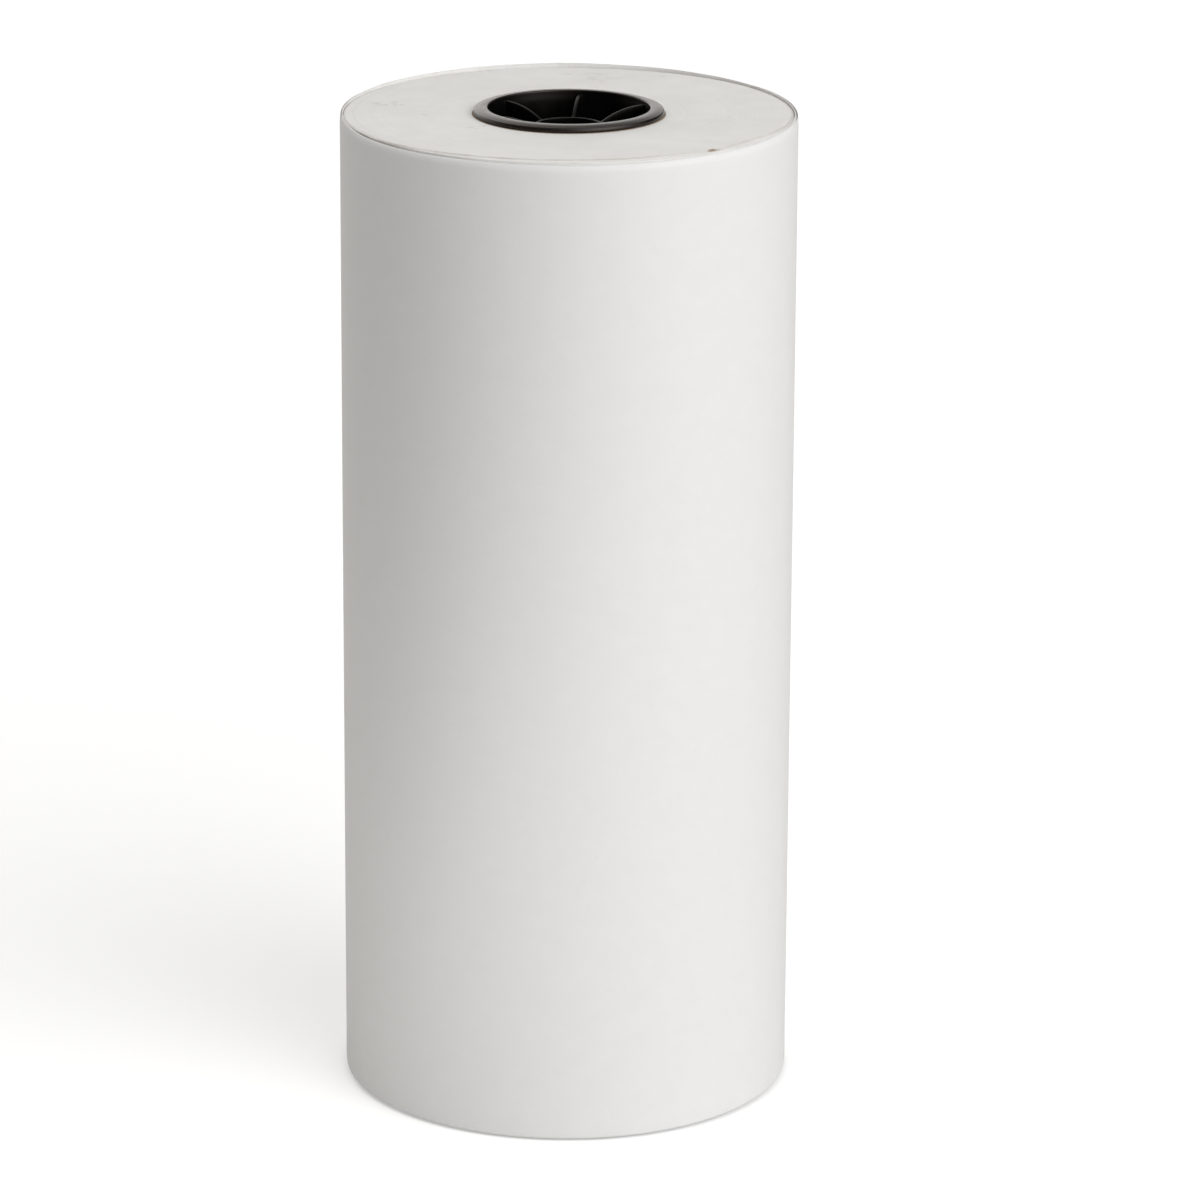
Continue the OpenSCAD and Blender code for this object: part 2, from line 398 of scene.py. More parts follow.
def loose_edges():
    """Face and cut edge of the looser turns; whiter than the tight end, with brown grime and painted shade at the inner
    top edge by the slit.
    """
    s = Tree("loose_edges")
    pos = s.n("TexCoord").outputs["Object"]
    sep = s.n("SeparateXYZ")
    s.link(pos, sep.inputs[0])
    r = s.vmath("LENGTH", s.vmath("MULTIPLY", pos, (1, 1, 0)))
    fine = s.noise(pos, 900, 4, 0.6)
    grain = s.noise(pos, 3000, 2, 0.6)
    run = s.noise(pos, 44, 4, 0.65)
    lay = s.noise(None, 15000, 1, 0.5, dims="1D", w=r)
    base = s.mix(s.range(fine, 0.3, 0.7, 0, 1), (0.81, 0.80, 0.78), (0.85, 0.845, 0.83))
    base = s.mix(s.range(lay, 0.35, 0.65, 0.0, 0.1), base, (0.64, 0.62, 0.58))
    up = s.range(sep.outputs["Z"], TOP - 0.004, TOP, 0, 1, True)
    inner = s.range(r, BAND0 - 0.0003, BAND0 + 0.0007, 1, 0, True)
    # brown grime and painted shade on the top of the innermost turn, at the slit
    brown = s.math("MULTIPLY", s.math("MULTIPLY", s.range(run, 0.42, 0.62, 0.12, 1, True), up), inner)
    base = s.mix(s.math("MULTIPLY", brown, 0.14), base, (0.42, 0.34, 0.25))
    spot = s.vmath("LENGTH", s.vmath("SUBTRACT", s.vmath("MULTIPLY", pos, (1, 1, 0.6)),
                                     tuple(np.array([BAND0 * math.cos(deg(-49.9)), BAND0 * math.sin(deg(-49.9)), 0.6 * TOP]))))
    sp = s.range(spot, 0.0008, 0.0048, 1, 0, True)
    base = s.mix(s.math("MULTIPLY", sp, s.math("MULTIPLY", inner, 0.22)), base, (0.3, 0.18, 0.09))
    n1 = s.bump(grain, 0.25, 0.00005)
    n2 = s.bump(lay, 0.4, 0.00008, n1)
    rough = s.range(fine, 0.3, 0.7, 0.66, 0.78)
    return s.done(base, rough, n2, Specular_IOR_Level=0.35)


def closing_tape():
    """Creped paper tape, cream, paler in cloudy patches."""
    s = Tree("closing_tape")
    uv = s.n("UVMap", uv_map="paper").outputs[0]
    crepe = s.noise(s.mapped(uv, (1.0, 0.14, 1.0)), 2100, 4, 0.62, 0.7)
    coarse = s.noise(s.mapped(uv, (1.0, 0.22, 1.0)), 760, 3, 0.6, 0.5)
    cloud = s.noise(uv, 130, 3, 0.6)
    fibre = s.noise(s.mapped(uv, (0.4, 1, 1)), 4200, 2, 0.5, 0.5)
    base = s.mix(s.range(crepe, 0.32, 0.68, 0, 1), (0.66, 0.6, 0.455), (0.77, 0.72, 0.585))
    base = s.mix(s.range(cloud, 0.35, 0.65, 0, 0.35), base, (0.74, 0.7, 0.6))
    n1 = s.bump(fibre, 0.2, 0.00003)
    n2 = s.bump(crepe, 0.75, 0.00012, n1)
    n3 = s.bump(coarse, 0.5, 0.00025, n2)
    rough = s.math("ADD", s.range(crepe, 0.3, 0.7, 0.5, 0.68), s.range(cloud, 0.3, 0.7, -0.04, 0.04))
    return s.done(base, rough, n3, Specular_IOR_Level=0.45)


def starter():
    """Double-sided film tape under the first turn."""
    s = Tree("starter_tape")
    pos = s.n("TexCoord").outputs["Object"]
    a = s.noise(s.mapped(pos, (1, 1, 0.2)), 420, 3, 0.6, 0.4)
    b = s.noise(pos, 2600, 2, 0.5)
    base = s.mix(s.range(a, 0.3, 0.7, 0, 1), (0.66, 0.63, 0.55), (0.76, 0.74, 0.67))
    n1 = s.bump(b, 0.3, 0.00004)
    n2 = s.bump(a, 0.35, 0.0001, n1)
    return s.done(base, s.range(a, 0.3, 0.7, 0.28, 0.42), n2, Specular_IOR_Level=0.5)


def board():
    """Spiral-wound grey-brown core board: fibres, darker flecks, ply lines at the cut end."""
    s = Tree("core_board")
    pos = s.n("TexCoord").outputs["Object"]
    r = s.vmath("LENGTH", s.vmath("MULTIPLY", pos, (1, 1, 0)))
    ply = s.n("TexWave", wave_type="BANDS", bands_direction="X", wave_profile="SIN")
    comb = s.n("CombineXYZ")
    s.link(s.math("ADD", r, s.math("MULTIPLY", s.noise(pos, 160, 3), 0.00022)), comb.inputs[0])
    s.link(comb.outputs[0], ply.inputs["Vector"])
    ply.inputs["Scale"].default_value = 2000 * TAU / 20 * 0.5
    fibre = s.noise(s.mapped(pos, (1, 1, 0.45)), 900, 5, 0.65, 0.6)
    fleck = s.noise(pos, 1700, 2, 0.5)
    blot = s.noise(pos, 60, 4, 0.6)
    base = s.mix(s.range(fibre, 0.3, 0.7, 0, 1), (0.27, 0.19, 0.125), (0.43, 0.33, 0.235))
    base = s.mix(s.range(blot, 0.35, 0.65, 0, 0.4), base, (0.36, 0.3, 0.23))
    base = s.mix(s.range(fleck, 0.66, 0.72, 0, 0.6, True), base, (0.12, 0.085, 0.06))
    base = s.mix(s.range(ply.outputs["Fac"], 0.0, 0.25, 0.4, 0, True), base, (0.14, 0.095, 0.06))
    n1 = s.bump(fibre, 0.5, 0.00012)
    n2 = s.bump(ply.outputs["Fac"], 0.25, 0.0001, n1)
    return s.done(base, s.range(fibre, 0.3, 0.7, 0.74, 0.9), n2, Specular_IOR_Level=0.3)


def plastic(name, dark, light, dust_amount, rough_lo, ior, level):
    """Black moulded plastic: flow marks, a fine moulded grain, faint scuffs, and handling dust."""
    s = Tree(name)
    pos = s.n("TexCoord").outputs["Object"]
    grain = s.noise(pos, 2600, 3, 0.6)
    flow = s.noise(s.mapped(pos, (1, 1, 0.3)), 150, 4, 0.6, 0.8)
    scuff = s.noise(s.mapped(pos, (2.2, 0.5, 1)), 420, 3, 0.6, 1.2)
    dust = s.noise(pos, 900, 4, 0.7)
    dusty = s.math("MULTIPLY", s.range(dust, 0.42, 0.62, 0, 1, True), s.range(flow, 0.35, 0.62, 0.25, 1, True))
    base = s.mix(s.range(flow, 0.3, 0.7, 0, 1), dark, light)
    base = s.mix(s.math("MULTIPLY", dusty, dust_amount), base, (0.30, 0.24, 0.20))
    n1 = s.bump(grain, 0.3, 0.00004)
    n2 = s.bump(flow, 0.08, 0.0002, n1)
    rough = s.math("ADD", s.range(flow, 0.3, 0.7, rough_lo, rough_lo + 0.07), s.range(scuff, 0.58, 0.7, 0.0, 0.1, True))
    rough = s.math("ADD", rough, s.math("MULTIPLY", dusty, 0.08))
    return s.done(base, rough, n2, IOR=ior, Specular_IOR_Level=level, Specular_Tint=(1.0, 0.90, 0.82, 1.0))


FACE, EDGES, LOOSE = paper_face(), paper_edges(), loose_edges()
TAPE, STARTER, BOARD = closing_tape(), starter(), board()
BLACK = plastic("plug_plastic", (0.0075, 0.0058, 0.005), (0.0115, 0.009, 0.0078), 0.022, 0.15, 1.47, 0.38)
# painted shade: a darker, duller copy of the same plastic for the faces inside the plug
SHADED_INSIDE = plastic("plug_plastic_painted_shade_inside", (0.0012, 0.0012, 0.0012), (0.0022, 0.0021, 0.0021), 0.004, 0.30, 1.46, 0.14)


# ---------------------------------------------------------------- how the paper lies
# Angles run from +X; the camera side is -90 degrees.
edge_n = [wave_noise(40 + i, 9, 26) for i in range(14)]
lean_n = wave_noise(21, 5, 14)
fray_n = wave_noise(22, 38, 90)
slow_n = wave_noise(23, 3, 7)


def skew(t):
    """How far the loose turns stand above the tight end: up at the back, down on the camera side."""
    return -np.cos(t + math.pi / 2)


def lean_amount(t):
    """How far the top edge of the loose turns leans inwards."""
    a = 0.17 + 0.05 * lean_n(t)
    a = a + 0.13 * bump(t, 172, 30) + 0.15 * bump(t, -2, 26) + 0.05 * bump(t, 90, 40)
    a = a - 0.16 * bump(t, -146, 17) - 0.05 * bump(t, -60, 14)
    return np.clip(a, 0.02, 0.36) * MM


def lean(t, down):
    """Inward offset near an edge of the paper; down is the distance from that edge."""
    return lean_amount(t) * np.clip(1 - down / (5.5 * MM), 0, 1) ** 2


def under(t):
    """The same direction, as an angle along the last turn between 22 and 382 degrees."""
    return np.radians((np.degrees(np.asarray(t, float)) - 22) % 360 + 22)


CURL_H = 3.0 * MM                                 # height of the rounded shoulder of the last turn
CURL_U = np.linspace(0, 1, 65)
CURL_F = 0.5 * CURL_U ** 1.7 + 0.5 * (1 - np.sqrt(1 - CURL_U ** 2))


def curl_w(t):
    """Width of the shoulder: nearly as far as the tight winding on the camera side, none at the back."""
    return front(t) * np.maximum(sheet_radius(under(t)) - TIGHT - 0.16 * MM - lean_amount(t), 0)


def curl(t, down):
    """The last turn's top edge is pressed over into a round shoulder on the camera side."""
    return curl_w(t) * np.interp(np.clip(1 - down / CURL_H, 0, 1), CURL_U, CURL_F)


def sheet_lift(t):
    """Height of the last turn's top edge above the tight end."""
    return (1.62 * skew(t) * (1 - 0.4 * bump(t, 36, 30)) - 0.65 * bump(t, -143, 22) - 0.3 * bump(t, -98, 20) + 0.05 * edge_n[12](t)) * MM


def hollow(t, z):
    """Shallow waves of the outer face, always inwards."""
    u = ROLL * t
    a = np.sin(TAU * (u / 0.0821 + z / 0.31)) * 0.5 + np.sin(TAU * (u / 0.1094 - z / 0.19) + 1.3) * 0.5
    b = np.sin(TAU * (u + z) / 0.0938 + 0.4) * np.sin(TAU * (u - z) / 0.0938 + 2.0)
    c = np.sin(TAU * z / 0.23 + 2 * np.sin(t * 2 + 1))
    return (0.045 * (1 + 0.5 * a + 0.3 * b + 0.2 * c)) * MM


def dent(t, z):
    """The bruise at the rim on the camera's right."""
    d = bump(t, -49.9, 2.6) * np.exp(-(((TOP - z) / (2.6 * MM)) ** 2))
    crease = 0.6 * bump(t + (TOP - z) * 9, -43, 1.6) * np.exp(-(((TOP - z) / (9 * MM)) ** 2))
    return d * 0.12 * MM + crease * 0.12 * MM


# ---------------------------------------------------------------- the tight winding
def tight_winding():
    nt = 400
    t = np.linspace(0, TAU, nt, endpoint=False)
    r_in, r_out = CORE_OR + 0.02 * MM, TIGHT
    fine = line_noise(3, r_in, r_out, 0.95 * MM)
    mid = line_noise(4, r_in, r_out, 3.1 * MM)
    wide = line_noise(5, r_in, r_out, 11 * MM)
    phase = wave_noise(6, 2, 5)

    def face(r, th, seed):
        drift = 0.5 * MM * phase(th + seed)
        z = 0.010 * fine(r + drift + seed * 1e-4) + 0.030 * mid(r + drift * 0.6) + 0.11 * wide(r - drift)
        step = 0.13 * smooth(r + drift * 0.4, 97.6 * MM, 98.1 * MM) * bump(th, 178, 60)
        step += 0.07 * smooth(r, 71.0 * MM, 71.4 * MM) * bump(th, 30, 60)
        cup = -0.35 * smooth(r, 62 * MM, r_in)          # pressed down a little round the core
        edge = -0.22 * smooth(r, r_out - 0.5 * MM, r_out) ** 2
        return (z - 0.12 - step + cup + edge + 0.03 * slow_n(th + r * 30)) * MM

    # the columns of the top face follow the line, which is a small step down towards the rim
    line = line_mm(t) * MM
    g = np.minimum(line, r_out - 2.2 * MM)[:, None]
    deep = (1 - smooth(line, 100.4 * MM, 101.6 * MM))[:, None]
    start, stop = r_in + 0.4 * MM, r_out - 1.0 * MM
    rt = np.concatenate([np.full((nt, 1), r_in), np.full((nt, 1), r_in + 0.15 * MM),
                         start + (g - 1.0 * MM - start) * np.linspace(0, 1, 104)[None, :],
                         g + np.array([-0.6, -0.3, -0.12, 0.0, 0.12, 0.3, 0.6])[None, :] * MM,
                         g + 1.0 * MM + (stop - g - 1.0 * MM) * np.linspace(0, 1, 8)[None, :],
                         np.broadcast_to(r_out - np.array([0.7, 0.45, 0.28, 0.15, 0.06, 0.0]) * MM, (nt, 6))], 1)
    low_r = np.concatenate([[r_in, r_in + 0.2 * MM], np.linspace(r_in + 0.6 * MM, r_out - 1.0 * MM, 50),
                            r_out - np.array([0.6, 0.3, 0.1, 0.0]) * MM])
    side_z = np.concatenate([[TOP - 0.8 * MM, TOP - 2.5 * MM, TOP - 8 * MM], np.linspace(TOP - 40 * MM, FOOT + 40 * MM, 9),
                             [FOOT + 8 * MM, FOOT + 2.5 * MM, FOOT + 0.8 * MM]])
    bore_z = side_z[::-1]
    T = t[:, None]
    zt = TOP + face(rt, np.broadcast_to(T, rt.shape), 0.0)
    zt -= deep * (0.22 * smooth(rt, g - 0.05 * MM, g + 0.3 * MM) + 0.3 * np.exp(-((rt - g - 0.05 * MM) / (0.25 * MM)) ** 2)) * MM
    zt -= 0.65 * MM * front(T) * np.clip((rt - np.maximum(g, r_out - 4.2 * MM)) / (r_out - np.maximum(g, r_out - 4.2 * MM)), 0, 1)
    zt -= 0.35 * MM * bump(T, -49.9, 2.4) * np.exp(-((rt - 99.0 * MM) / (1.1 * MM)) ** 2)
    wave = (0.03 * fray_n(t) * MM)[:, None]
    rt -= wave * smooth(rt, r_out - 0.6 * MM, r_out)
    rs = np.full((nt, len(side_z)), r_out)
    zs = np.broadcast_to(side_z[None, :], rs.shape)
    rl = np.broadcast_to(low_r[::-1][None, :], (nt, len(low_r)))
    zl = FOOT - face(rl, np.broadcast_to(T, rl.shape), 1.7)
    rb = np.full((nt, len(bore_z)), r_in)
    zb = np.broadcast_to(bore_z[None, :], rb.shape)
    R = np.concatenate([rt, rs, rl, rb], 1)
    Z = np.clip(np.concatenate([zt, zs, zl, zb], 1), FOOT, TOP)
    TT = np.broadcast_to(T, R.shape)
    v = np.stack([R * np.cos(TT), R * np.sin(TT), Z], -1).reshape(-1, 3)
    # the map holds the distance from the line and how much brown grime and painted shade it gets
    uv = np.stack([R - line[:, None], np.broadcast_to(grime_and_shade_of(t)[:, None], R.shape)], -1).reshape(-1, 2)
    o = mesh_of("tight_winding", v, grid_faces(nt, R.shape[1], True, True), uvs=uv, sharp=40)
    facing_out(o)
    o.data.materials.append(EDGES)
    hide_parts("wound_paper")
    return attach(o, "roll")


# ---------------------------------------------------------------- the looser turns, one long spiral strip
def loose_turns():
    turns, per = 9, 300
    n = turns * per + 1
    a0 = deg(22) - turns * TAU
    a = np.linspace(a0, deg(22), n)
    s = np.linspace(0, 1, n)                       # 0 at the slit, 1 under the last turn
    pitch = (BAND1 - BAND0) / turns
    gaps = np.interp(s * turns, np.arange(turns + 1), np.cumsum(np.r_[0, 1 + 0.9 * (rng.random(turns) - 0.4)]))
    inner = BAND0 - 0.2 * MM * (1 - smooth(line_mm(a), 100.4, 101.6)) - 0.14 * MM * bump(a, 38, 26)      # the slit is narrower here
    r = inner + (BAND1 - inner - 0.09 * MM) * gaps / gaps[-1]
    th = 0.088 * MM
    b, f = (1 + skew(a)) / 2, (1 - skew(a)) / 2
    lift = (1.6 * b * (0.74 + 0.24 * s) - 1.6 * f * s ** 0.85) * (1 - 0.4 * bump(a, 36, 30))
    turn = np.clip((s * turns).astype(int), 0, turns - 1)
    own = np.stack([e(a) for e in edge_n])
    k = s * turns
    i0 = np.clip(np.floor(k).astype(int), 0, 12)
    w = smooth(k - i0, 0, 1)
    lift = lift + 0.085 * (own[i0, np.arange(n)] * (1 - w) + own[i0 + 1, np.arange(n)] * w)
    lift = lift * MM
    lift = lift - 0.75 * MM * front(a) * (1 - s) ** 1.5
    nickz = 0.15 * MM * bump(a, -49.9, 2.2) * (1 - s) ** 0.7
    z1 = np.minimum(TOP + lift - nickz, TOP + 1.7 * MM)
    # the cut edges stay under the shoulder of the last turn
    x = np.clip(sheet_radius(under(a)) - r - th, 0, None)
    w = np.maximum(curl_w(a), 0.02 * MM)
    drop = CURL_H * (1 - np.interp(np.clip(x / w, 0, 1), CURL_F, CURL_U)) * front(a)
    z1 = np.minimum(z1, TOP + sheet_lift(a) - drop - 0.1 * MM * front(a) + 0.3 * MM * (1 - front(a)))
    z0 = np.maximum(FOOT + lift, 0.15 * MM)
    downs = np.array([0, 0.5, 1.2, 2.4, 4.0, 6.0]) * MM
    cols_r, cols_z = [], []
    half = th / 2
    # up the outside, over the cut edge, down the inside
    for d in downs[::-1]:
        cols_r.append(r + th - lean(a, d)); cols_z.append(z0 * 0 + z1 - d - 0.02 * MM)
    cols_r.append(r + half - lean(a, 0 * a)); cols_z.append(z1 + 0.012 * MM)
    for d in downs:
        cols_r.append(r - lean(a, d)); cols_z.append(z1 - d - 0.02 * MM)
    for d in downs[::-1]:
        cols_r.append(r - 0.6 * lean(a, d)); cols_z.append(z0 + d + 0.02 * MM)
    cols_r.append(r + half - 0.6 * lean(a, 0 * a)); cols_z.append(z0 - 0.012 * MM)
    for d in downs:
        cols_r.append(r + th - 0.6 * lean(a, d)); cols_z.append(z0 + d + 0.02 * MM)
    R, Z = np.stack(cols_r, 1), np.stack(cols_z, 1)
    T = a[:, None]
    R = R - dent(T, Z)
    m = R.shape[1]
    v = np.stack([R * np.cos(T), R * np.sin(T), Z], -1).reshape(-1, 3)
    faces = [grid_faces(n, m, False, True)]
    o = mesh_of("loose_turns", v, faces[0], sharp=50)
    bm = bmesh.new()
    bm.from_mesh(o.data)
    bmesh.ops.holes_fill(bm, edges=[e for e in bm.edges if e.is_boundary], sides=0)
    bm.to_mesh(o.data)
    bm.free()
    facing_out(o)
    o.data.materials.append(LOOSE)
    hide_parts("outer_turns")
    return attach(o, "roll")


# ---------------------------------------------------------------- the outer sheet: last turn and loose end
def sheet_radius(a):
    """Inner radius of the sheet at angle a, from 22 degrees (under the loose end) to 470 (the free edge)."""
    d = np.degrees(a)
    low, high = ROLL - 0.6 * MM + 0.005 * MM, ROLL - SHEET
    return low + (high - low) * smooth(d, 118, 380)


def sheet_piece(name, start, end, columns, rows, close_start=True, close_end=True):
    """A stretch of the outer sheet between two angles in degrees, with both faces and its edges."""
    narrow = 0.06
    ang = np.radians(np.concatenate([[start, start + narrow], np.linspace(start + narrow, end - narrow, columns + 1)[1:-1], [end - narrow, end]]))
    downs = np.array([0, 0.08, 0.22, 0.45, 0.8, 1.25, 1.8, 2.4, 3.0, 4.2, 6.0, 10.0]) * MM
    A = ang[:, None]
    z1 = np.minimum(TOP + sheet_lift(ang), TOP + 1.7 * MM)
    z0 = np.maximum(FOOT + 1.62 * MM * skew(ang), 0.1 * MM)
    z1 = z1 - (0.1 * MM * bump(ang, -49.9, 1.7) + 0.08 * MM * bump(ang, -44, 1.2))
    frac = np.linspace(0, 1, rows)[None, :]
    zb, zt = (z0 + downs[-1])[:, None], (z1 - downs[-1])[:, None]
    zmid = zb + (zt - zb) * frac
    zz = np.concatenate([z0[:, None] + downs[:-1][None, :], zmid, z1[:, None] - downs[:-1][::-1][None, :]], 1)
    from_top, from_low = z1[:, None] - zz, zz - z0[:, None]
    inward = hollow(A, zz) * smooth(np.minimum(from_top, from_low), 0, 12 * MM) + lean(A, from_top) + curl(A, from_top) + 0.6 * lean(A, from_low) + dent(A, zz)
    rin = sheet_radius(ang)[:, None] - inward
    rout = rin + SHEET - 0.005 * MM
    # bend the last half millimetre of each edge to a soft corner
    ce = 0.05 * MM * (1 - smooth(np.minimum(from_top, from_low), 0, 0.35 * MM))
    m = zz.shape[1]
    mid_r = (rin[:, [0, -1]] + rout[:, [0, -1]]) / 2
    R = np.concatenate([rout - ce, mid_r[:, 1:2], (rin + ce * 0.4)[:, ::-1], mid_r[:, 0:1]], 1)
    Z = np.concatenate([zz, (z1 + 0.02 * MM)[:, None], zz[:, ::-1], (z0 - 0.02 * MM)[:, None]], 1)
    Z = np.maximum(Z, 0.06 * MM)
    M = R.shape[1]
    T = np.broadcast_to(A, R.shape)
    v = np.stack([R * np.cos(T), R * np.sin(T), Z], -1).reshape(-1, 3)
    uv = np.stack([ROLL * T, Z], -1).reshape(-1, 2)
    faces = list(grid_faces(len(ang), M, False, True))
    o = mesh_of(name, v, np.array(faces), uvs=uv)
    bm = bmesh.new()
    bm.from_mesh(o.data)
    layer = bm.loops.layers.uv["paper"]
    bm.verts.ensure_lookup_table()
    for column, wanted in ((0, close_start), (len(ang) - 1, close_end)):
        if not wanted:
            continue
        base = column * M
        for j in range(m - 1):
            q = [base + j, base + j + 1, base + (2 * m - 1 - j), base + (2 * m - j)]
            f = bm.faces.new([bm.verts[i] for i in q])
            f.smooth = True
            for loop, i in zip(f.loops, q):
                loop[layer].uv = uv[i]
        for q in ([base + m - 1, base + m, base + m + 1], [base, base + 2 * m, base + 2 * m + 1]):
            f = bm.faces.new([bm.verts[i] for i in q])
            for loop, i in zip(f.loops, q):
                loop[layer].uv = uv[i]
    bmesh.ops.recalc_face_normals(bm, faces=bm.faces)
    bm.to_mesh(o.data)
    bm.free()
    o.data.set_sharp_from_angle(angle=deg(45))
    o.data.materials.append(FACE)
    return o


def outer_sheet():
    o = sheet_piece("last_turn_sheet", 22.0, 380.0, 430, 62)
    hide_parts("last_turn")
    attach(o, "roll")
    # the loose end bends smoothly from where it leaves the roll
    root = sheet_piece("loose_end_1", 380.0, 387.5, 16, 62)
    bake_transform(root)
    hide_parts("tail_leaf_1")
    for k in range(1, 6):
        a = 27.5 + 15 * (k - 1)
        piece = sheet_piece("loose_end_%d" % (k + 1), 360 + a, 375 + a, 26, 62)
        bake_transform(piece)
        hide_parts("tail_leaf_%d" % (k + 1))
    last = sheet_piece("loose_end_7", 462.5, 470.0, 16, 62)
    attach(last, "tail_6")


# ---------------------------------------------------------------- closing tapes
def tapes():
    lo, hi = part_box("closing_tapes")
    h = 24 * MM
    parts = []
    for idx, z0 in enumerate((lo.z, hi.z - h)):
        g = np.random.default_rng(30 + idx)
        na, nz = 64, 34
        zs = np.linspace(0, 1, nz)
        # a serrated cut at both ends
        teeth = np.abs(((zs * h / (2.0 * MM)) % 1.0) - 0.5) * 2
        s0 = 463.4 + 0.42 * teeth + 0.25 * zs * (1 if idx else -1)
        s1 = 483.3 - 0.42 * teeth + 0.3 * zs * (-1 if idx else 1)
        u = np.linspace(0, 1, na)
        A = s0[None, :] + (s1 - s0)[None, :] * u[:, None]
        zz = z0 + 0.15 * MM + (h - 0.3 * MM) * zs[None, :] + (0.12 * MM * np.sin(u * 2.2 + idx))[:, None]
        on_end = 1 - smooth(A, 470.0, 470.75)
        rad = np.radians(A)
        under = np.radians(A - 360)
        outer_end = sheet_radius(np.minimum(rad, deg(470))) + SHEET - hollow(rad, zz)
        outer_turn = sheet_radius(under) + SHEET - hollow(under, zz)
        r0 = outer_end * on_end + outer_turn * (1 - on_end) + 0.012 * MM
        wrinkle = 0.02 * MM * np.sin(rad * 310 + 3 * np.sin(zz * 900)) * g.uniform(0.5, 1)
        lifted = 0.10 * MM * smooth(A, 481.5, 483.3)
        r0 = r0 + np.abs(wrinkle) * 0.5 + lifted * (0.4 + 0.6 * zs[None, :])
        r1 = np.minimum(r0 + 0.13 * MM, hi_r_tape)
        V0 = np.stack([r1 * np.cos(rad), r1 * np.sin(rad), zz], -1).reshape(-1, 3)
        V1 = np.stack([r0 * np.cos(rad), r0 * np.sin(rad), zz], -1).reshape(-1, 3)
        uvg = np.stack([ROLL * rad, zz], -1).reshape(-1, 2)
        n = na * nz
        f = [grid_faces(na, nz), grid_faces(na, nz, flip=True, start=n)]
        ring = [(i, 0) for i in range(na)] + [(na - 1, j) for j in range(1, nz)] + [(i, nz - 1) for i in range(na - 2, -1, -1)] + [(0, j) for j in range(nz - 2, 0, -1)]
        ids = np.array([i * nz + j for i, j in ring])
        nx = np.roll(ids, -1)
        f.append(np.stack([ids, ids + n, nx + n, nx], -1))
        o = mesh_of("tape_part", np.concatenate([V0, V1]), np.concatenate(f), uvs=np.concatenate([uvg, uvg]), sharp=40)
        facing_out(o)
        parts.append(o)
    o = joined("closing_tape_strips", parts)
    o.data.materials.append(TAPE)
    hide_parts("closing_tapes")
    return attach(o, "tail_6")


hi_r_tape = ROLL + 0.24 * MM


# ---------------------------------------------------------------- core tube
def core():
    r0, r1 = c_hi.x - 6 * MM, c_hi.x
    nt = 256
    t = np.linspace(0, TAU, nt, endpoint=False)[:, None]
    plies = 12
    rr, zz = [], []
    g = np.random.default_rng(11)
    ph = g.uniform(0, TAU, plies)
    step = g.uniform(-0.5, 0.5, plies)
    ring_r, ring_z = [], []
    for k in range(plies):
        a, b = r0 + (r1 - r0) * k / plies, r0 + (r1 - r0) * (k + 1) / plies
        for q, dz in ((a + 0.03 * MM, -0.10), (a + 0.10 * MM, 0.0), ((a + b) / 2, 0.02), (b - 0.10 * MM, 0.0), (b - 0.03 * MM, -0.10)):
            ring_r.append(np.full((nt, 1), q))
            ring_z.append((dz - 0.12 + 0.07 * step[k] + 0.035 * np.sin(2 * t + ph[k])) * MM)
    er, ez = np.concatenate(ring_r, 1), np.concatenate(ring_z, 1)
    er[:, 0], er[:, -1] = r0 + 0.05 * MM, r1 - 0.05 * MM
    zin = np.linspace(CORE_HI - 0.6 * MM, CORE_LO + 0.6 * MM, 120)[None, :]
    lead = 0.118                                       # the bore's spiral seam
    near = np.abs(((zin / lead - t / TAU) % 1.0) - 0.5) * lead
    groove = 0.11 * MM * np.exp(-((near - 0.0) / (2.2 * MM)) ** 2)
    bore_r = np.broadcast_to(r0 + groove, (nt, 120))
    bore_z = np.broadcast_to(zin, (nt, 120))
    side_z = np.broadcast_to(np.linspace(CORE_LO + 0.6 * MM, CORE_HI - 0.6 * MM, 10)[None, :], (nt, 10))
    side_r = np.full((nt, 10), r1 - 0.02 * MM)
    R = np.concatenate([er, side_r[:, ::-1], er[:, ::-1], bore_r[:, ::-1]], 1)
    Z = np.concatenate([CORE_HI + ez, side_z[:, ::-1], CORE_LO - ez[:, ::-1], bore_z[:, ::-1]], 1)
    Z = np.clip(Z, CORE_LO, CORE_HI)
    T = np.broadcast_to(t, R.shape)
    v = np.stack([R * np.cos(T), R * np.sin(T), Z], -1).reshape(-1, 3)
    o = mesh_of("board_core", v, grid_faces(nt, R.shape[1], True, True), sharp=42)
    facing_out(o)
    o.data.materials.append(BOARD)
    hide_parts("core_tube")
    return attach(o, "roll")


# ---------------------------------------------------------------- core plugs
def arc(cx, cy, rx, ry, a0, a1, n):
    a = np.radians(np.linspace(a0, a1, n + 1))
    return np.stack([cx + rx * np.cos(a), cy + ry * np.sin(a)], -1)


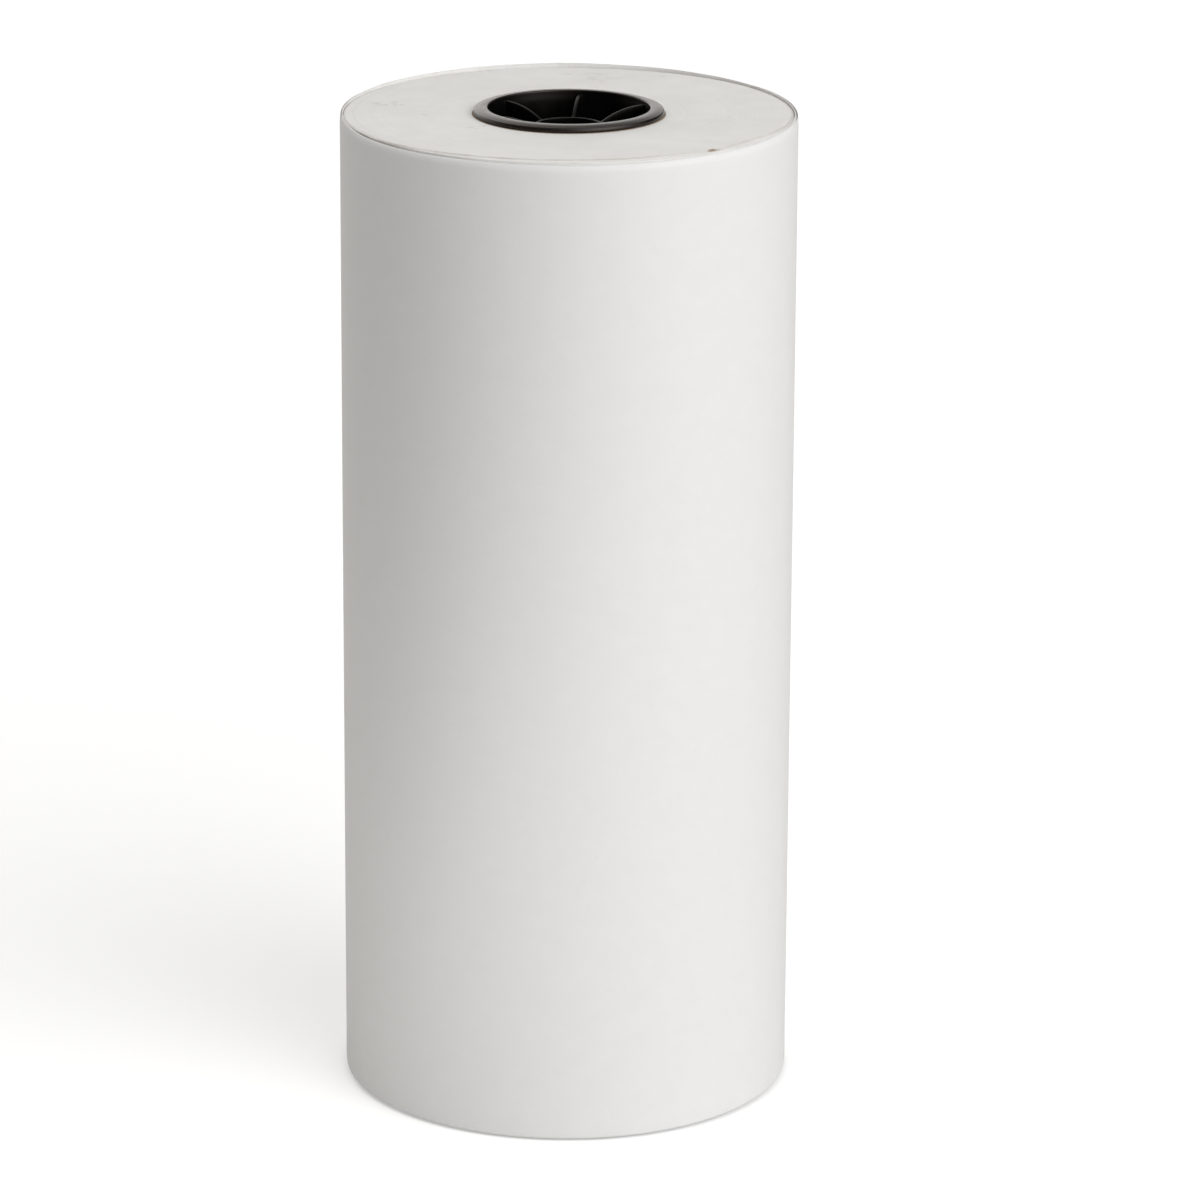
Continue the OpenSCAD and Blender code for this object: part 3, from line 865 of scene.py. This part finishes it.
def plug_shape(name):
    """One plug with z = 0 at the end of the core and its flange upwards; millimetres inside, metres out."""
    f, crest, skirt, flange_h, skirt_l = 43.5, 38.3, 37.8, FLANGE_H, 36.0
    hub_r, bore, hub_top = 16.1, 14.3, FLANGE_H - 8.2
    crown, rim = 0.78, 0.8
    dx = f - rim - crest - 0.6
    rho = (dx * dx + crown * crown) / (2 * crown)
    shell = np.concatenate([
        arc(f - rim, 0.45, rim, flange_h - crown - 0.45, 0, 86, 9),
        arc(crest + 0.6, flange_h - rho, rho, rho, math.degrees(math.acos(dx / rho)), 90, 9),
        arc(crest - 0.6, flange_h - 0.7, 0.7, 0.7, 90, 176, 9),
        [[36.82, 0.9]],
        [[36.64, 0.0], [36.48, -0.9], [36.34, -2.2], [36.36, -8], [36.42, -20], [36.5, -35.3], [36.56, -35.75], [36.7, -36.0],
         [36.95, -36.0], [37.08, -35.7], [37.3, -34.5], [37.72, -28.6], [37.8, -27.6], [37.8, -10.0], [37.8, -1.2], [37.82, -0.45], [37.95, -0.1], [38.04, 0.02]],
        [[40, 0.02], [43.1, 0.02], [43.32, 0.08], [43.46, 0.3]]]) * MM
    hub = np.concatenate([
        arc(hub_r - 0.45, hub_top - 0.45, 0.45, 0.45, 0, 90, 5),
        arc(bore + 0.4, hub_top - 0.4, 0.4, 0.4, 90, 180, 5),
        [[bore, hub_top - 1.2], [bore, -16], [bore, -34.9]],
        arc(bore + 0.5, -skirt_l + 0.5, 0.5, 0.5, 180, 270, 4),
        arc(hub_r - 0.3, -skirt_l + 0.3, 0.3, 0.3, 270, 360, 4),
        [[hub_r, -34.6], [hub_r, -16], [hub_r, hub_top - 1.2]]]) * MM
    parts = [revolve("shell", shell, 256), revolve("hub", hub, 128)]
    wa, wb = np.array([hub_r, hub_top]), np.array([skirt - 1.2, flange_h - 1.9])
    dd, mm = wb - wa, (wa + wb) / 2
    ln = np.linalg.norm(dd)
    hh = math.sqrt(38.6 ** 2 - ln * ln / 4)
    c = np.array([mm[0] + dd[1] / ln * hh, mm[1] - dd[0] / ln * hh])
    web_lo, fil = -skirt_l + 2, 0.9
    rs = np.concatenate([[hub_r - 0.9, hub_r - 0.3], hub_r + fil * np.array([0.0, 0.08, 0.2, 0.38, 0.62, 1.0]), np.linspace(hub_r + 1.6, 34.6, 16),
                         36.4 - fil * np.array([1.0, 0.62, 0.38, 0.2, 0.08, 0.0]), [36.7, 37.1]])
    top_z = np.minimum(c[1] + np.sqrt(np.maximum(38.6 ** 2 - (rs - c[0]) ** 2, 0)), flange_h - 1.92)
    top_z = np.where(rs < hub_r, hub_top - 0.3, top_z)
    for k in range(6):
        cols = []
        for r, zt in zip(rs, top_z):
            h = 0.8
            d1, d2 = (r - hub_r) / fil, (36.4 - r) / fil
            for d in (d1, d2):
                if d < 1:
                    d = max(d, 0)
                    h = max(h, 0.8 + 0.75 * (1 - math.sqrt(max(1 - (1 - d) ** 2, 0))))
            q = 0.34
            sect = [(-h + 0.2, web_lo), (-h, web_lo + 0.2), (-h, (web_lo + zt) / 2), (-h, zt - 2.5), (-h, zt - q),
                    (-h + 0.3 * q, zt - 0.3 * q), (-h + q, zt), (0, zt + 0.02), (h - q, zt), (h - 0.3 * q, zt - 0.3 * q), (h, zt - q),
                    (h, zt - 2.5), (h, (web_lo + zt) / 2), (h, web_lo + 0.2), (h - 0.2, web_lo)]
            cols.append([(r, y, z) for y, z in sect])
        V = np.array(cols) * MM
        nu, nv = V.shape[:2]
        ang = deg(60 * k)
        ca, sa = math.cos(ang), math.sin(ang)
        P = V.reshape(-1, 3)
        P = np.stack([P[:, 0] * ca - P[:, 1] * sa, P[:, 0] * sa + P[:, 1] * ca, P[:, 2]], -1)
        w = mesh_of("web", P, grid_faces(nu, nv, False, True))
        bm = bmesh.new()
        bm.from_mesh(w.data)
        bmesh.ops.holes_fill(bm, edges=[e for e in bm.edges if e.is_boundary], sides=0)
        bm.to_mesh(w.data)
        bm.free()
        parts.append(w)
    for k in range(12):                                 # grip ribs outside the skirt
        ang = deg(30 * k + 15)
        zs = np.array([-30.6, -30.2, -29.0, -27.2, -26.6, -15, -3.2, -2.4, -2.1])
        rad = np.array([0.03, 0.16, 0.36, 0.62, 0.7, 0.7, 0.7, 0.5, 0.12])
        a = np.linspace(0, TAU, 20, endpoint=False)
        P = np.array([[(skirt - 0.45 + q * math.cos(x), q * math.sin(x), z) for x in a] for z, q in zip(zs, rad)]).reshape(-1, 3) * MM
        ca, sa = math.cos(ang), math.sin(ang)
        P = np.stack([P[:, 0] * ca - P[:, 1] * sa, P[:, 0] * sa + P[:, 1] * ca, P[:, 2]], -1)
        w = mesh_of("rib", P, grid_faces(len(zs), 20, False, True))
        bm = bmesh.new()
        bm.from_mesh(w.data)
        bmesh.ops.holes_fill(bm, edges=[e for e in bm.edges if e.is_boundary], sides=0)
        bm.to_mesh(w.data)
        bm.free()
        parts.append(w)
    for p in parts:
        facing_out(p)
    base = parts[0]
    base.name = name
    group = bpy.data.collections.new("cut_" + name)
    for p in parts[1:]:
        group.objects.link(p)
    mod = base.modifiers.new("union", "BOOLEAN")
    mod.operation = "UNION"
    mod.operand_type = "COLLECTION"
    mod.collection = group
    mod.solver = "EXACT"
    bpy.context.view_layer.update()
    dg = bpy.context.evaluated_depsgraph_get()
    me = bpy.data.meshes.new_from_object(base.evaluated_get(dg))
    out = bpy.data.objects.new(name, me)
    for p in parts:
        bpy.data.objects.remove(p)
    bpy.data.collections.remove(group)
    bpy.context.scene.collection.objects.link(out)
    out.name = name
    return out


def plugs():
    o = plug_shape("plug_top_moulded")
    low = bpy.data.objects.new("plug_bottom_moulded", o.data.copy())
    bpy.context.scene.collection.objects.link(low)
    o.data.transform(Matrix.Translation((0, 0, CORE_HI)) @ Matrix.Rotation(deg(82.5), 4, "Z"))
    low.data.transform(Matrix.Translation((0, 0, CORE_LO)) @ Matrix.Diagonal((1, 1, -1, 1)) @ Matrix.Rotation(deg(35), 4, "Z"))
    for p, node, body in ((o, "core_plug_top", "plug_top"), (low, "core_plug_bottom", "plug_bottom")):
        facing_out(p)
        p.data.shade_smooth()
        p.data.set_sharp_from_angle(angle=deg(38))
        p.data.materials.clear()
        p.data.materials.append(BLACK)
        p.data.materials.append(SHADED_INSIDE)
        end = CORE_HI if p is o else CORE_LO
        c = np.empty(len(p.data.polygons) * 3, np.float32)
        p.data.polygons.foreach_get("center", c)
        c = c.reshape(-1, 3)
        # the faces inside the plug get the darker copy, which is painted shade in the hollow
        inside = (np.hypot(c[:, 0], c[:, 1]) < 36.95 * MM) & (np.hypot(c[:, 0], c[:, 1]) > 0) | (np.abs(c[:, 2] - 0.2304) < abs(end - 0.2304) - 0.3 * MM)
        p.data.polygons.foreach_set("material_index", inside.astype(np.int32))
        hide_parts(node)
        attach(p, body)


tight_winding()
loose_turns()
outer_sheet()
tapes()
core()
plugs()
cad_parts["starter_tape"].data.materials.clear()
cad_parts["starter_tape"].data.materials.append(STARTER)


# ---------------------------------------------------------------- studio
def floor():
    me = bpy.data.meshes.new("studio_floor")
    q = 9.0
    me.from_pydata([(-q, -q, 0), (q, -q, 0), (q, q, 0), (-q, q, 0)], [], [(0, 1, 2, 3)])
    o = bpy.data.objects.new("studio_floor", me)
    bpy.context.scene.collection.objects.link(o)
    m = bpy.data.materials.new("studio_floor")
    m.use_nodes = True
    t = m.node_tree
    t.nodes.clear()
    out = t.nodes.new("ShaderNodeOutputMaterial")
    path = t.nodes.new("ShaderNodeLightPath")
    mix = t.nodes.new("ShaderNodeMixShader")
    a, b = t.nodes.new("ShaderNodeBsdfDiffuse"), t.nodes.new("ShaderNodeBsdfDiffuse")
    e, add = t.nodes.new("ShaderNodeEmission"), t.nodes.new("ShaderNodeAddShader")
    a.inputs[0].default_value = (0.66, 0.65, 0.64, 1)
    b.inputs[0].default_value = (0.8, 0.8, 0.795, 1)
    e.inputs[0].default_value = (1, 1, 1, 1)
    e.inputs[1].default_value = 0.36
    t.links.new(path.outputs["Is Camera Ray"], mix.inputs[0])
    t.links.new(a.outputs[0], mix.inputs[1])
    t.links.new(b.outputs[0], add.inputs[0])
    t.links.new(e.outputs[0], add.inputs[1])
    t.links.new(add.outputs[0], mix.inputs[2])
    t.links.new(mix.outputs[0], out.inputs[0])
    me.materials.append(m)


def sky():
    w = bpy.data.worlds.new("studio")
    bpy.context.scene.world = w
    w.use_nodes = True
    t = w.node_tree
    t.nodes.clear()
    out = t.nodes.new("ShaderNodeOutputWorld")
    bg, white, mix = t.nodes.new("ShaderNodeBackground"), t.nodes.new("ShaderNodeBackground"), t.nodes.new("ShaderNodeMixShader")
    path = t.nodes.new("ShaderNodeLightPath")
    coord = t.nodes.new("ShaderNodeTexCoord")
    total = None
    # azimuth right of the camera side, elevation, tightness, strength, colour
    for az, el, p, k, col in ((47, 25, 6, 3.62, (1.0, 1.0, 1.0)), (20, 25, 6, 0.15, (1, 0.99, 0.97)), (180, 12, 9, 0.80, (1, 0.98, 0.955)),
                              (-138, 15, 4, 1.46, (1.0, 0.97, 0.93)), (0, 90, 3, 0.60, (1, 1, 1))):
        a, e = deg(az), deg(el)
        v = (math.sin(a) * math.cos(e), -math.cos(a) * math.cos(e), math.sin(e))
        dot = t.nodes.new("ShaderNodeVectorMath")
        dot.operation = "DOT_PRODUCT"
        t.links.new(coord.outputs["Generated"], dot.inputs[0])
        dot.inputs[1].default_value = v
        mx = t.nodes.new("ShaderNodeMath")
        mx.operation = "MAXIMUM"
        t.links.new(dot.outputs["Value"], mx.inputs[0])
        mx.inputs[1].default_value = 0
        pw = t.nodes.new("ShaderNodeMath")
        pw.operation = "POWER"
        t.links.new(mx.outputs[0], pw.inputs[0])
        pw.inputs[1].default_value = p
        sc = t.nodes.new("ShaderNodeVectorMath")
        sc.operation = "SCALE"
        sc.inputs[0].default_value = tuple(c * k for c in col)
        t.links.new(pw.outputs[0], sc.inputs["Scale"])
        if total is None:
            total = sc.outputs[0]
        else:
            ad = t.nodes.new("ShaderNodeVectorMath")
            ad.operation = "ADD"
            t.links.new(total, ad.inputs[0])
            t.links.new(sc.outputs[0], ad.inputs[1])
            total = ad.outputs[0]
    t.links.new(total, bg.inputs[0])
    white.inputs[0].default_value = (1, 1, 1, 1)
    white.inputs[1].default_value = 1.0
    t.links.new(path.outputs["Is Camera Ray"], mix.inputs[0])
    t.links.new(bg.outputs[0], mix.inputs[1])
    t.links.new(white.outputs[0], mix.inputs[2])
    t.links.new(mix.outputs[0], out.inputs[0])
    w.cycles.sampling_method = "MANUAL"
    w.cycles.sample_map_resolution = 512


def low_light():
    """A soft strip low on the camera's left, which lifts the foot of the roll."""
    lamp = bpy.data.lights.new("low_strip", "AREA")
    lamp.shape = "RECTANGLE"
    lamp.size, lamp.size_y = 0.5, 0.06
    lamp.energy = 0.135
    lamp.color = (1.0, 0.985, 0.965)
    o = bpy.data.objects.new("low_strip", lamp)
    a = deg(-138)
    here = Vector((0.30 * math.cos(a), 0.30 * math.sin(a), 0.035))
    o.matrix_world = Matrix.Translation(here) @ (Vector((0, 0, 0.035)) - here).to_track_quat("-Z", "Z").to_matrix().to_4x4()
    o.visible_camera = False
    bpy.context.scene.collection.objects.link(o)


def camera():
    S = 0.10476
    d, h, pitch, yaw, roll = 25.252622 * S, 9.746907 * S, 0.292015, -0.005806, 0.005544
    cam = bpy.data.cameras.new("camera")
    cam.sensor_width = 36
    cam.lens = 5929.169 * 36 / 1200
    cam.clip_start, cam.clip_end = 0.05, 60
    fwd = Vector((0, math.cos(pitch), -math.sin(pitch)))
    right, up = Vector((1, 0, 0)), Vector((0, math.sin(pitch), math.cos(pitch)))
    turn = Matrix.Rotation(yaw, 3, "Z")
    fwd, right, up = turn @ fwd, turn @ right, turn @ up
    r2 = math.cos(roll) * right + math.sin(roll) * up
    u2 = -math.sin(roll) * right + math.cos(roll) * up
    m = Matrix((r2, u2, -fwd)).transposed().to_4x4()
    m.translation = Vector((0, -d, h + FOOT))
    o = bpy.data.objects.new("camera", cam)
    o.matrix_world = m
    bpy.context.scene.collection.objects.link(o)
    bpy.context.scene.camera = o


floor()
sky()
low_light()
camera()
bpy.context.scene.view_settings.view_transform = "Standard"
bpy.context.view_layer.update()
